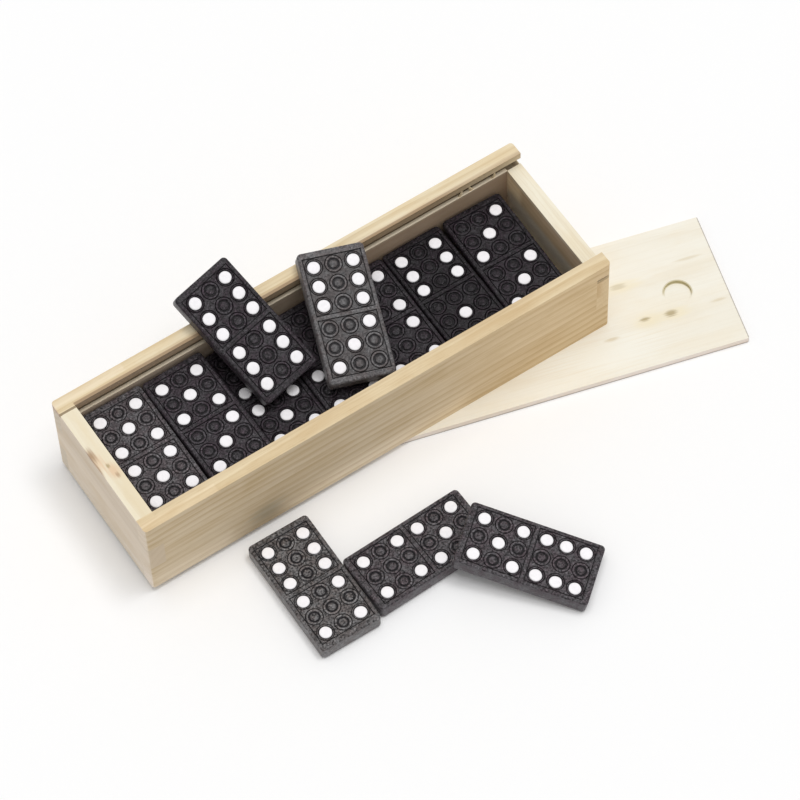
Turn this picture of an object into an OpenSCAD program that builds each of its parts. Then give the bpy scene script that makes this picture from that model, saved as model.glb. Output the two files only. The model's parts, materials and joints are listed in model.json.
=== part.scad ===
// Domino box with a sliding lid, open, with its 28 tiles.
// The origin lies on the table, under the middle of the box. +X runs along the box to its open end,
// +Y to the rear and +Z up. The box stands on its lid, which lies flat on the table.

/* [Domino tiles] */
// Length of a tile
tile_l = 38.2; // [34:0.1:44]
// Width of a tile
tile_w = 19; // [17:0.1:22]
// Thickness of a tile
tile_t = 5; // [4:0.1:7]
// Radius of a tile's upright corners
tile_corner_r = 1.2; // [0.6:0.1:3]
// Bevel round the top and the bottom of a tile
tile_bevel = 0.6; // [0.2:0.1:1]
// Width of the raised frame along a tile's long sides
side_frame_w = 0.5; // [0.3:0.1:1.2]
// Width of the raised frame across a tile's two ends
end_frame_w = 1.2; // [0.3:0.1:2]
// Width of the bar between a tile's halves
divider_w = 1.1; // [0.6:0.1:2.4]
// Depth of the sunken field in each half
field_depth = 0.35; // [0.25:0.05:0.6]
// Diameter of a pip
pip_d = 3.6; // [2:0.1:4.4]
// Thickness of a pip's paint
pip_t = 0.2; // [0.1:0.05:0.25]

/* [Room round the tiles] */
// Room for each column of tiles, along the box
column_play = 0.55; // [0.5:0.05:2]
// Room between the closed end wall and the first column
first_play = 0.25; // [0.2:0.05:2]
// Spare room past the last column
spare_l = 3.95; // [2:0.05:10]
// Room past the tiles' ends, both sides together
end_play = 1.3; // [1:0.1:3]
// Room over the tallest stack, up to the lid
head_room = 1; // [0.5:0.1:4]

/* [Box] */
// Thickness of the front and rear walls
side_t = 4.5; // [3.5:0.1:8]
// Thickness of the closed end wall
closed_end_t = 5; // [4:0.1:10]
// Thickness of the open end wall
open_end_t = 4.5; // [3:0.1:10]
// Thickness of the bottom board
bottom_t = 5; // [3:0.1:8]
// Depth of the lid's grooves
groove_d = 2; // [1:0.1:2.5]
// Height of the walls' lips over the grooves
lip_h = 2.4; // [1.5:0.1:5]
// Radius of the box's upright outer edges
box_corner_r = 1; // [0.3:0.1:2]

/* [Corner joints] */
// Height of the side walls' parts over and under the closed end's finger
closed_part_h = 10.5; // [6:0.1:12]
// Height of the side walls' parts under the open end's finger
open_part_h = 11; // [6:0.1:14]
// Gap over the open end's finger
finger_gap = 0.8; // [0.2:0.1:2]

/* [Lid] */
// Thickness of the lid
lid_t = 2.2; // [1.5:0.1:4]
// Play of the lid in the grooves' height
lid_play_h = 0.4; // [0.2:0.1:1]
// Play of the lid at each side
lid_play_w = 0.5; // [0.2:0.1:1]
// Play of the lid in its length
lid_play_l = 0.3; // [0:0.1:1]
// Radius of the lid's corners
lid_corner_r = 0.5; // [0.3:0.1:2]
// Radius of the thumb notch
notch_r = 4; // [3:0.1:8]
// Depth of the thumb notch at its rear
notch_depth = 1.1; // [0.5:0.1:1.3]
// Slope of the thumb notch's floor
notch_slope = 9; // [7:0.5:14]
// Distance from the lid's open end to the notch's middle
notch_from_end = 13.9; // [10:0.1:30]
// Distance from the lid's centre line to the notch's middle
notch_aside = 0.8; // [0:0.1:3]
// Turn of the notch's rear against the lid's rear
notch_turn = -23; // [-45:1:45]

/* [Lid on the table] */
// How far the lid's open end shows past the box
lid_reach = 35.3; // [20:0.1:45]
// How far the lid's open end lies in front of the box's centre line
lid_aside = 29.8; // [10:0.1:40]
// Turn of the lid
lid_turn = -15.3; // [-20:0.1:-5]

/* [Loose tiles] */
// Place of the middle loose tile along the box
middle_x = -9.5; // [-20:0.1:20]
// Room between the box and the middle loose tile
middle_front = 21.9; // [15:0.1:60]
// Turn of the middle loose tile
middle_turn = -88.1; // [-89:0.1:-80]
// Gap between the left and the middle loose tile
left_gap = 0.2; // [0.1:0.1:5]
// How far the left loose tile's middle lies behind the middle one's
left_behind = 7.4; // [0:0.1:9]
// Turn of the left loose tile
left_turn = -0.3; // [-3:0.1:0]
// How far the right loose tile reaches over the middle one
right_over = 9.4; // [4:0.1:14]
// How far the right loose tile's centre line passes the middle one's corner
right_aside = 3.9; // [0:0.1:7]
// Turn of the right loose tile
right_turn = -140.3; // [-150:0.1:-120]

/* [Leaning tiles] */
// Place of the left leaning tile past its column's middle
lean_left_x = 1.4; // [0:0.1:3]
// How far the left leaning tile's middle lies below the rim, down its slope
lean_left_down = 5.5; // [2:0.1:9]
// Turn of the left leaning tile in its own plane
lean_left_turn = 11.9; // [0:0.1:15]
// Place of the right leaning tile past its column's middle
lean_right_x = 8; // [6:0.1:9]
// How far the right leaning tile's middle lies below the rim, down its slope
lean_right_down = 15.9; // [9:0.1:16]
// Turn of the right leaning tile in its own plane
lean_right_turn = -17.9; // [-20:0.1:0]

/* [Hidden] */
$fn = 32;
// How far cutting shapes pass the surface that they cut
pass = 1;

// Each column's tiles from the bottom up, as [rear half, front half]
stacks = [
    [[0, 0], [1, 2], [3, 4], [5, 5]],
    [[0, 1], [1, 3], [2, 6], [5, 3]],
    [[0, 2], [1, 4], [2, 5]],
    [[0, 3], [1, 5], [0, 4]],
    [[0, 5], [2, 2], [4, 4]],
    [[0, 6], [2, 3], [6, 1]],
    [[1, 1], [2, 4], [3, 3]]
];
// Each column's own small shift along the box, as a share of the column's play, its shift across
// the box, as a share of the tiles' end play, and its turn
column_lie = [
    [0, 0, -0.2],
    [0, -0.25, 0.8],
    [-0.25, 0, 0.5],
    [-0.55, 0, 0],
    [-0.1, 0, -0.2],
    [-0.55, 0, 0.2],
    [-0.35, -0.15, -1.3]
];
// Columns whose top tile can be lifted straight out
open_columns = [0, 1, 5, 6];
// Layers in the lower stacks, and in the tallest
low_layers = 3;
high_layers = 4;
left_loose = [6, 4];
middle_loose = [5, 4];
right_loose = [6, 5];
left_leaning = [6, 6];
right_leaning = [6, 3];

field_w = tile_w - 2 * (tile_bevel + side_frame_w);
field_l = tile_l / 2 - tile_bevel - end_frame_w - divider_w / 2;
field_y = divider_w / 2 + field_l / 2;
// Pips stand in three rows of three cells
cell_w = field_w / 3;
cell_l = field_l / 3;

column_pitch = tile_w + column_play;
inner_l = first_play + len(stacks) * column_pitch - column_play + spare_l;
inner_w = tile_l + end_play;
box_l = closed_end_t + inner_l + open_end_t;
box_w = inner_w + 2 * side_t;
closed_end_x = -box_l / 2 + closed_end_t;
open_end_x = box_l / 2 - open_end_t;
// Heights above the box's underside
groove_z = bottom_t + high_layers * tile_t + head_room;
groove_h = lid_t + lid_play_h;
box_h = groove_z + groove_h + lip_h;
low_top = bottom_t + low_layers * tile_t;

lid_w = inner_w + 2 * (groove_d - lid_play_w);
lid_l = inner_l + open_end_t - lid_play_l;

middle_y = -box_w / 2 - middle_front - tile_w / 2;
// Slope of the right loose tile, from the table up to the middle one's top
right_slope = asin(tile_t / (tile_l - right_over));

function tile_name(tile) = str("tile_", tile[0], "_", tile[1]);
function pips_name(tile) = str("pips_", tile[0], "_", tile[1]);
function layer_name(layer) = str("pips_layer_", layer);
function free_tiles() = [left_loose, middle_loose, right_loose, left_leaning, right_leaning];
function top_tiles() = [for (column = open_columns) stacks[column][len(stacks[column]) - 1]];
function is_top(column, layer) =
    len(search(column, open_columns)) > 0 && layer == len(stacks[column]);
function column_x(column) =
    closed_end_x + first_play + tile_w / 2 + column * column_pitch;

module wood() {
    color("burlywood") children();
}

module rounded_rectangle(l, w, r) {
    square([l - 2 * r, w], center = true);
    square([l, w - 2 * r], center = true);
    for (x = [-1, 1], y = [-1, 1])
        translate([x * (l / 2 - r), y * (w / 2 - r)]) circle(r);
}

// The whole box as a solid block, which gives every wall its outer faces
module box_block() {
    linear_extrude(box_h) rounded_rectangle(box_l, box_w, box_corner_r);
}

// Both fingers of the closed end wall
module closed_fingers() {
    translate([-box_l / 2 - pass, -box_w / 2 - pass, closed_part_h])
        cube([closed_end_t + pass, box_w + 2 * pass, box_h - 2 * closed_part_h]);
}

// Both fingers of the open end wall, with the gap over them
module open_fingers(gap) {
    translate([open_end_x, -box_w / 2 - pass, open_part_h])
        cube([open_end_t + pass, box_w + 2 * pass, groove_z - gap - open_part_h]);
}

// Both of the lid's grooves, from the closed end wall to the open end
module grooves() {
    translate([closed_end_x, -inner_w / 2 - groove_d, groove_z])
        cube([inner_l + open_end_t + pass, inner_w + 2 * groove_d, groove_h]);
}

// A long wall on the side that the sign gives: -1 is the front and 1 the rear
module side_wall(side) {
    wood() translate([0, 0, lid_t]) difference() {
        intersection() {
            box_block();
            translate([-box_l / 2 - pass, side > 0 ? inner_w / 2 : -inner_w / 2 - side_t - pass, -pass])
                cube([box_l + 2 * pass, side_t + pass, box_h + 2 * pass]);
        }
        closed_fingers();
        open_fingers(0);
        grooves();
    }
}

module front_wall() {
    side_wall(-1);
}

module rear_wall() {
    side_wall(1);
}

module closed_end() {
    wood() translate([0, 0, lid_t]) {
        translate([-box_l / 2, -inner_w / 2, 0]) cube([closed_end_t, inner_w, box_h]);
        intersection() {
            box_block();
            closed_fingers();
        }
    }
}

module open_end() {
    wood() translate([0, 0, lid_t]) {
        translate([open_end_x, -inner_w / 2, 0]) cube([open_end_t, inner_w, groove_z]);
        intersection() {
            box_block();
            open_fingers(finger_gap);
        }
    }
}

module bottom_board() {
    wood() translate([closed_end_x, -inner_w / 2, lid_t]) cube([inner_l, inner_w, bottom_t]);
}

// Half-moon notch: upright at its rear, with a floor that rises to the front
module thumb_notch() {
    intersection() {
        translate([0, 0, -notch_depth - pass]) cylinder(r = notch_r, h = notch_depth + 2 * pass);
        translate([0, notch_r, -notch_depth]) rotate([-notch_slope, 0, 0])
            translate([-2 * notch_r, -4 * notch_r, 0]) cube([4 * notch_r, 5 * notch_r, 2 * notch_r]);
    }
}

module sliding_lid() {
    wood() translate([box_l / 2 + lid_reach, -lid_aside, 0]) rotate([0, 0, lid_turn]) difference() {
        translate([-lid_l / 2, 0, 0]) linear_extrude(lid_t) rounded_rectangle(lid_l, lid_w, lid_corner_r);
        translate([-notch_from_end, -notch_aside, lid_t]) rotate([0, 0, notch_turn]) thumb_notch();
    }
}

// Profile of a block of this width, bevelled at its top and bottom
module bevelled_profile(w) {
    flat = w / 2 - tile_bevel;
    wide = flat + tile_t / 2;
    polygon([[-flat, 0], [flat, 0], [wide, tile_t / 2], [flat, tile_t], [-flat, tile_t], [-wide, tile_t / 2]]);
}

// One tile, face up, with its underside's middle at the origin and its rear half at +Y
module tile() {
    color("#1c1c1e") difference() {
        intersection() {
            translate([0, 0, -pass]) linear_extrude(tile_t + 2 * pass)
                rounded_rectangle(tile_w, tile_l, tile_corner_r);
            rotate([90, 0, 0]) linear_extrude(tile_l + 2 * pass, center = true) bevelled_profile(tile_w);
            rotate([90, 0, 90]) linear_extrude(tile_w + 2 * pass, center = true) bevelled_profile(tile_l);
        }
        for (half = [-1, 1])
            translate([-field_w / 2, half * field_y - field_l / 2, tile_t - field_depth])
                cube([field_w, field_l, field_depth + pass]);
    }
}

// The cells that hold a pip for this number, counted from the half's middle
function pip_cells(number) = concat(
    number % 2 == 1 ? [[0, 0]] : [],
    number > 1 ? [[1, 1], [-1, -1]] : [],
    number > 3 ? [[-1, 1], [1, -1]] : [],
    number == 6 ? [[-1, 0], [1, 0]] : []
);

// The pips of one tile, as [rear half, front half], on the floor of its fields
module pips(halves) {
    color("white") for (half = [0, 1], cell = pip_cells(halves[half]))
        translate([cell[0] * cell_w, (1 - 2 * half) * field_y + cell[1] * cell_l, tile_t - field_depth])
            cylinder(d = pip_d, h = pip_t);
}

// Puts a tile in its column of the box, at this layer from the bottom
module in_stack(column, layer) {
    lie = column_lie[column];
    x = column_x(column) + lie[0] * column_play;
    translate([x, lie[1] * end_play, lid_t + bottom_t + (layer - 1) * tile_t])
        rotate([0, 0, lie[2]]) children();
}

// Leans a tile on the rear wall's inner edge, with its lowest corner on the low stacks
module leaning(x, down, turn) {
    reach = down + cos(turn) * tile_l / 2 + abs(sin(turn)) * tile_w / 2;
    slope = asin((box_h - low_top) / reach);
    translate([x, inner_w / 2, lid_t + box_h]) rotate([slope, 0, 0]) translate([0, -down, 0])
        rotate([0, 0, turn]) children();
}

module at_left_leaning() {
    leaning(column_x(2) + lean_left_x, lean_left_down, lean_left_turn) children();
}

module at_right_leaning() {
    leaning(column_x(3) + lean_right_x, lean_right_down, lean_right_turn) children();
}

module at_middle_loose() {
    translate([middle_x, middle_y, 0]) rotate([0, 0, middle_turn]) children();
}

// The left tile's side lies beside the rear corner of the middle tile's left end
module at_left_loose() {
    end_x = middle_x + sin(middle_turn) * tile_l / 2 - cos(middle_turn) * tile_w / 2;
    side_x = cos(left_turn) * tile_w / 2 - sin(left_turn) * (tile_w / 2 - left_behind);
    translate([end_x - left_gap - side_x, middle_y + left_behind, 0]) rotate([0, 0, left_turn]) children();
}

// The right tile stands on its end's lower edge and rests on the middle tile's near right corner
module at_right_loose() {
    translate([middle_x, middle_y, 0]) rotate([0, 0, middle_turn])
        translate([tile_w / 2, tile_l / 2, tile_t]) rotate([0, 0, right_turn - middle_turn])
            rotate([-right_slope, 0, 0]) translate([right_aside, tile_l / 2 - right_over, 0]) children();
}

front_wall();
rear_wall();
closed_end();
open_end();
bottom_board();
sliding_lid();

for (column = [0:len(stacks) - 1], layer = [1:len(stacks[column])])
    in_stack(column, layer) tile();

for (column = [0:len(stacks) - 1], layer = [1:len(stacks[column])])
    let (halves = stacks[column][layer - 1], shown = is_top(column, layer) ? pips_name(halves) : layer_name(layer))
        in_stack(column, layer) pips(halves);

at_left_loose() tile();
at_left_loose() pips(left_loose);
at_middle_loose() tile();
at_middle_loose() pips(middle_loose);
at_right_loose() tile();
at_right_loose() pips(right_loose);
at_left_leaning() tile();
at_left_leaning() pips(left_leaning);
at_right_leaning() tile();
at_right_leaning() pips(right_leaning);
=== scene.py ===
"""Domino box: materials, moulded tiles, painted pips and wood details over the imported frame."""
import json
import math
import random

import bpy
import numpy as np
from mathutils import Matrix, Vector
from mathutils.geometry import delaunay_2d_cdt


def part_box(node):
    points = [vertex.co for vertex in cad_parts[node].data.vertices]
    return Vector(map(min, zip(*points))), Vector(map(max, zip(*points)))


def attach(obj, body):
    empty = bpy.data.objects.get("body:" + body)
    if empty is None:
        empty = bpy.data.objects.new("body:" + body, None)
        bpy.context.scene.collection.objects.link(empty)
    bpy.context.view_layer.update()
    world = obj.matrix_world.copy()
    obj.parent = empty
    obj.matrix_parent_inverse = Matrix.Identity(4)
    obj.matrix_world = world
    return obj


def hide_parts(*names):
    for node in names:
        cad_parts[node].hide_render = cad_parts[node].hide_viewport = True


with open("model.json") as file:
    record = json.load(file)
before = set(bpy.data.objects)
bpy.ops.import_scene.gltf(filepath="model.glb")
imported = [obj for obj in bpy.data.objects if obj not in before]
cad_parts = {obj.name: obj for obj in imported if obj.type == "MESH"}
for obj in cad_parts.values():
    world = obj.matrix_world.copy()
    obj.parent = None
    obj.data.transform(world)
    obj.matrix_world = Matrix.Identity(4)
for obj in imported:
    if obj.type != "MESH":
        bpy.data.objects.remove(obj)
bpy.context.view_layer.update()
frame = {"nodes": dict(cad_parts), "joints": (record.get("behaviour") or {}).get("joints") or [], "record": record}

MM = 0.001

# ---- names taken from the frame
BODIES = frame["record"]["behaviour"]["bodies"]
BODY_OF = {node: body for body, nodes in BODIES.items() for node in nodes}
TILE_NODES = sorted(node for node in BODY_OF if node.startswith("tile_"))
PIP_NODES = sorted(node for node in BODY_OF if node.startswith("pips_"))
LID_AXIS = next(j["axis"] for j in frame["joints"] if j["name"] == "lid_slide")

# ---- camera, as fitted to the photograph
IMAGE_SIZE = 800  # pixels
FOCAL_PX = 4156.7
SENSOR_MM = 36.0
VIEW_AZIMUTH = math.radians(31.246)
VIEW_ELEVATION = math.radians(59.422)
VIEW_ROLL = math.radians(-2.522)
VIEW_TARGET = Vector((13.477, -11.198, 0)) * MM
VIEW_DISTANCE = 1155.4 * MM
CLIP_NEAR = 0.05  # metres
CLIP_FAR = 50.0


def make_camera():
    """Camera at the photograph's angle, looking at a point of the table."""
    sin_a, cos_a = math.sin(VIEW_AZIMUTH), math.cos(VIEW_AZIMUTH)
    sin_e, cos_e = math.sin(VIEW_ELEVATION), math.cos(VIEW_ELEVATION)
    ahead = Vector((sin_a * cos_e, cos_a * cos_e, -sin_e))
    level = Vector((cos_a, -sin_a, 0))
    above = level.cross(ahead)
    right = level * math.cos(VIEW_ROLL) + above * math.sin(VIEW_ROLL)
    up = above * math.cos(VIEW_ROLL) - level * math.sin(VIEW_ROLL)
    data = bpy.data.cameras.new("camera")
    data.sensor_width = SENSOR_MM
    data.lens = FOCAL_PX / IMAGE_SIZE * SENSOR_MM
    data.clip_start = CLIP_NEAR
    data.clip_end = CLIP_FAR
    camera = bpy.data.objects.new("camera", data)
    bpy.context.scene.collection.objects.link(camera)
    turn = Matrix((right, up, -ahead)).transposed().to_4x4()
    camera.matrix_world = Matrix.Translation(VIEW_TARGET - ahead * VIEW_DISTANCE) @ turn
    bpy.context.scene.camera = camera
    bpy.context.scene.view_settings.view_transform = "Standard"


# ---- shader helper
class Shader:
    """The nodes of a new material, or of a given world, made with short calls."""

    def __init__(self, owner):
        self.material = bpy.data.materials.new(owner) if isinstance(owner, str) else owner
        self.material.use_nodes = True
        self.tree = self.material.node_tree
        self.surface = self.tree.nodes.get("Principled BSDF")

    def put(self, socket, value):
        """Sets a socket to a value, or links it to another socket."""
        if isinstance(value, bpy.types.NodeSocket):
            self.tree.links.new(value, socket)
        else:
            socket.default_value = value

    def add(self, kind, inputs=None, **settings):
        """A new node with its settings and inputs."""
        node = self.tree.nodes.new("ShaderNode" + kind)
        for name, value in settings.items():
            setattr(node, name, value)
        for name, value in (inputs or {}).items():
            self.put(node.inputs[name], value)
        return node

    def math(self, operation, a, b=0.0):
        node = self.add("Math", operation=operation)
        self.put(node.inputs[0], a)
        self.put(node.inputs[1], b)
        return node.outputs[0]

    def vector(self, operation, a, b=(0, 0, 0)):
        node = self.add("VectorMath", operation=operation)
        self.put(node.inputs[0], a)
        self.put(node.inputs[1], b)
        return node.outputs["Value" if operation in ("LENGTH", "DOT_PRODUCT") else "Vector"]

    def mix(self, factor, a, b, blend="MIX"):
        """Colour a at factor 0 and b at 1; a Mix node's colour sockets are found by their numbers."""
        node = self.add("Mix", data_type="RGBA", blend_type=blend)
        self.put(node.inputs["Factor"], factor)
        self.put(node.inputs[6], a if isinstance(a, bpy.types.NodeSocket) else (*a, 1))
        self.put(node.inputs[7], b if isinstance(b, bpy.types.NodeSocket) else (*b, 1))
        return node.outputs[2]

    def noise(self, where, scale, detail, rough):
        node = self.add("TexNoise", {"Vector": where, "Scale": scale, "Detail": detail, "Roughness": rough})
        return node.outputs["Fac"]

    def streaks(self, grain, scales, detail, rough=0.5):
        """Noise with its own scale along, across and above the grain."""
        return self.noise(self.vector("MULTIPLY", grain, scales), 1.0, detail, rough)

    def fit(self, value, low, high, to_low=0.0, to_high=1.0, kind="SMOOTHSTEP"):
        """The range from low to high mapped to another range."""
        inputs = {"Value": value, "From Min": low, "From Max": high, "To Min": to_low, "To Max": to_high}
        return self.add("MapRange", inputs, interpolation_type=kind).outputs["Result"]

    def shown_rays(self):
        """1 for the rays that show the background: camera, glossy and transmission rays."""
        path = self.add("LightPath").outputs
        direct = self.math("MAXIMUM", path["Is Camera Ray"], path["Is Glossy Ray"])
        return self.math("MAXIMUM", direct, path["Is Transmission Ray"])

    def split(self, vector):
        return self.add("SeparateXYZ", {"Vector": vector}).outputs

    def turned(self, vector, turn, scale=1.0):
        """A vector turned about Z and scaled."""
        settings = {"Vector": vector, "Rotation": (0, 0, turn), "Scale": (scale, scale, scale)}
        return self.add("Mapping", settings, vector_type="POINT").outputs["Vector"]

    def tint(self, amount, colour, shade):
        """The colour multiplied by a shade, as far as the amount says."""
        return self.mix(amount, colour, self.mix(1.0, colour, shade, "MULTIPLY"))

    def in_box(self, where, low, high, ease):
        """1 inside a box and 0 outside it, with an edge that is soft as far in as out."""
        middle = [(a + b) / 2 for a, b in zip(low, high)]
        half = [(b - a) / 2 for a, b in zip(low, high)]
        gap = self.vector("ABSOLUTE", self.vector("SUBTRACT", where, middle))
        parts = self.split(self.vector("SUBTRACT", gap, half))
        most = self.math("MAXIMUM", self.math("MAXIMUM", parts[0], parts[1]), parts[2])
        return self.fit(most, ease, -ease)

    def bump(self, height, strength, distance, under=None):
        """A relief's normal, laid over another one where that is given."""
        node = self.add("Bump", {"Height": height, "Strength": strength, "Distance": distance})
        if under is not None:
            self.put(node.inputs["Normal"], under)
        return node.outputs["Normal"]

    def finish(self, colour, rough, normal, specular):
        """The finished material, with its colour, roughness, relief and shine."""
        self.put(self.surface.inputs["Base Color"], colour)
        self.put(self.surface.inputs["Roughness"], rough)
        self.put(self.surface.inputs["Normal"], normal)
        self.surface.inputs["Specular IOR Level"].default_value = specular
        return self.material


# ---- light and floor
KEY_LEVEL = 0.37
KEY_SIZE = math.radians(44)
KEY_FROM = Vector((0.06, -0.05, 1.0))
SHEEN_LEVEL = 0.13
SHEEN_SIZE = math.radians(13)
SHEEN_FROM = Vector((0.264, -0.07, 0.956))
SKY_LEVEL = 0.5
FLOOR_TONE = 0.95
FLOOR_ROUGH = 0.9
FLOOR_REACH = 30.0  # metres


def add_sun(name, level, size, source):
    """A soft light from far away; a level of 1 would show a white sheet facing it as white."""
    data = bpy.data.lights.new(name, "SUN")
    data.energy = level * math.pi
    data.angle = size
    light = bpy.data.objects.new(name, data)
    light.rotation_euler = source.to_track_quat("Z", "Y").to_euler()
    bpy.context.scene.collection.objects.link(light)


def make_light():
    """A broad overhead softbox, a smaller one for the leaning tile's sheen, and an even white surround."""
    add_sun("softbox", KEY_LEVEL, KEY_SIZE, KEY_FROM)
    add_sun("sheen_box", SHEEN_LEVEL, SHEEN_SIZE, SHEEN_FROM)
    world = bpy.data.worlds.new("surround")
    bpy.context.scene.world = world
    world.use_nodes = True
    s = Shader(world)
    back = s.tree.nodes["Background"]
    s.put(back.inputs["Strength"], s.fit(s.shown_rays(), 0.0, 1.0, SKY_LEVEL, 1.0, "LINEAR"))
    back.inputs["Color"].default_value = (1, 1, 1, 1)


def make_floor():
    """Pale table that shows white and keeps the shadows."""
    mesh = bpy.data.meshes.new("floor")
    near, far = -FLOOR_REACH, FLOOR_REACH
    mesh.from_pydata([(near, near, 0), (far, near, 0), (far, far, 0), (near, far, 0)], [], [(0, 1, 2, 3)])
    floor = bpy.data.objects.new("floor", mesh)
    bpy.context.scene.collection.objects.link(floor)
    s = Shader("floor")
    s.surface.inputs["Roughness"].default_value = FLOOR_ROUGH
    s.surface.inputs["Specular IOR Level"].default_value = 0.0
    plain = (FLOOR_TONE, FLOOR_TONE, FLOOR_TONE)
    s.put(s.surface.inputs["Base Color"], s.mix(s.shown_rays(), plain, (1, 1, 1)))
    mesh.materials.append(s.material)


# ---- wood; lengths in millimetres
RING = 3.3  # spacing of the growth rings
RING_SWAY = 3.5  # how far they wander along a board
PITH_AWAY = 170.0  # from a board to the middle of its tree
SEED_STEP = (37.0, 5.0)  # how far apart two boards lie in the same grain, along and across it
SWAY_SCALES = (0.014, 0.05, 0.05)  # scales along, across and above the grain
FADE_SCALES = (0.01, 0.07, 0.07)
FIBRE_SCALES = (0.035, 1.9, 1.9)
FLECK_SCALES = (0.3, 4.5, 4.5)
CLOUD_SCALES = (0.05, 0.17, 0.17)
LATE = (0.80, 0.72, 0.60)
FIBRE = (0.72, 0.62, 0.48)
MOTTLE = (0.93, 0.90, 0.84)
LATE_SHARE = 0.75
END_LATE_SHARE = 0.3
FIBRE_SHARE = 0.34
FLECK_SHARE = 0.4
WOOD_RELIEF = 0.14
WOOD_SHINE = 0.25
KNOT_RAG = 1.3  # share of a knot's size that its edge wanders with the fibres
KNOT_CORE = 0.2  # share of its size in which it is darkest
STAIN_RAG = 0.35


def growth_rings(s, here, grain, lean):
    """How far each place is in the late wood of a growth ring, from 0 to 1."""
    sway = s.streaks(grain, SWAY_SCALES, 2.0)
    bend = s.math("MULTIPLY", s.math("SUBTRACT", sway, 0.5), RING_SWAY)
    parts = s.split(here)
    across = s.math("ADD", s.math("ADD", parts[1], bend), PITH_AWAY * math.cos(lean))
    high = s.math("ADD", s.math("ADD", parts[2], bend), PITH_AWAY * math.sin(lean))
    away = s.math("SQRT", s.math("ADD", s.math("MULTIPLY", across, across), s.math("MULTIPLY", high, high)))
    phase = s.math("FRACT", s.math("DIVIDE", away, RING * math.sin(lean)))
    ring = s.math("MULTIPLY", s.fit(phase, 0.3, 0.86), s.fit(phase, 1.0, 0.93))
    fade = s.fit(s.streaks(grain, FADE_SCALES, 2.0), 0.35, 0.65, 0.35, 1.0)
    return s.math("MULTIPLY", ring, fade)


def wood(name, turn, top, upright, reach, end, lean, depth, seed, marks=()):
    """Planed pine. top has the two tones of the faces that look up, upright the tones of the upright faces
    at the ends of reach along the grain, and end the end grain's tone. lean is the rings' slope in radians,
    depth the grain's strength, and seed picks the board's part of the tree."""
    s = Shader(name)
    coords = s.add("TexCoord").outputs
    here = s.turned(coords["Object"], -turn, 1 / MM)
    facing = s.split(s.turned(coords["Normal"], -turn))
    grain = s.vector("ADD", here, (seed * SEED_STEP[0], seed * SEED_STEP[1], 0))
    fibre = s.streaks(grain, FIBRE_SCALES, 4.0, 0.62)
    fleck = s.streaks(grain, FLECK_SCALES, 3.0, 0.6)
    cloud = s.streaks(grain, CLOUD_SCALES, 3.0, 0.55)
    top_tone = s.mix(s.fit(cloud, 0.36, 0.64), *top)
    side_tone = s.mix(s.fit(s.split(here)[0], *reach), *upright)
    side_tone = s.tint(s.fit(cloud, 0.4, 0.65), side_tone, MOTTLE)
    colour = s.mix(s.fit(facing[2], 0.45, 0.8), side_tone, top_tone)
    end_grain = s.fit(s.math("ABSOLUTE", facing[0]), 0.55, 0.85)
    colour = s.mix(end_grain, colour, end)
    late = s.math("MULTIPLY", growth_rings(s, here, grain, lean),
                  s.fit(end_grain, 0.0, 1.0, depth, END_LATE_SHARE))
    colour = s.tint(s.math("MULTIPLY", late, LATE_SHARE), colour, LATE)
    colour = s.tint(s.fit(fibre, 0.42, 0.72, 0.0, FIBRE_SHARE * depth), colour, FIBRE)
    colour = s.tint(s.fit(fleck, 0.58, 0.74, 0.0, FLECK_SHARE * depth), colour, FIBRE)
    for mark in marks:
        colour = mark(s, colour, here, facing, fibre)
    height = s.math("ADD", s.math("MULTIPLY", fibre, 0.6), s.math("MULTIPLY", fleck, 0.4))
    normal = s.bump(height, 0.4, WOOD_RELIEF * MM)
    rough = s.fit(fibre, 0.2, 0.8, 0.58, 0.78, "LINEAR")
    return s.finish(colour, rough, normal, WOOD_SHINE)


# ---- marks on the wood
# A mark is a function that changes the colour. It gets the shader, the colour, the place along, across and
# above the grain, the face's direction and the fibres' noise.

def along_grain(turn, x, y, z):
    """A place of the frame, along, across and above a board's grain."""
    return (x * math.cos(turn) + y * math.sin(turn), y * math.cos(turn) - x * math.sin(turn), z)


def knot(place, size, tone, stretch, share):
    """A soft, slightly ragged spot at a place along, across and above the grain; the less the stretch, the
    longer it is along the grain."""
    def mark(s, colour, here, facing, fibre):
        gap = s.vector("MULTIPLY", s.vector("SUBTRACT", here, place), (stretch, 1, 1))
        ragged = s.math("MULTIPLY", s.math("SUBTRACT", fibre, 0.5), KNOT_RAG * size)
        away = s.math("ADD", s.vector("LENGTH", gap), ragged)
        return s.mix(s.fit(away, size, KNOT_CORE * size, 0.0, share), colour, tone)
    return mark


def stain(low, high, tone, share, ease=0.12, fade=(0, 0), left_over=1.0):
    """A colour inside a box, whose corners are along, across and above the grain. Along fade's stretch it
    weakens to the share that is left over."""
    def mark(s, colour, here, facing, fibre):
        ragged = s.vector("ADD", here, s.math("MULTIPLY", s.math("SUBTRACT", fibre, 0.5), STAIN_RAG))
        strength = s.math("MULTIPLY", s.in_box(ragged, low, high, ease), share)
        if left_over < 1:
            strength = s.math("MULTIPLY", strength, s.fit(s.split(here)[0], *fade, 1.0, left_over))
        return s.mix(strength, colour, tone)
    return mark


def turned_box(low, high, turn):
    """Corners of a box of the frame, along, across and above the grain; turn is a quarter turn, or none."""
    pairs = [sorted(pair) for pair in zip(along_grain(turn, *low), along_grain(turn, *high))]
    return [a for a, b in pairs], [b for a, b in pairs]


def block(low, high, turn, tone, share, ease=0.12):
    """A stain whose corners are places of the frame."""
    return stain(*turned_box(low, high, turn), tone, share, ease)


def shade(low, high, turn, gain, ease):
    """Lighter or darker wood inside a soft box of the frame, for the wood's tone and for painted light and
    shade; the grain stays.
    """
    box = turned_box(low, high, turn)

    def mark(s, colour, here, facing, fibre):
        return s.vector("MULTIPLY", colour, s.mix(s.in_box(here, *box, ease), (1, 1, 1), gain))
    return mark


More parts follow.
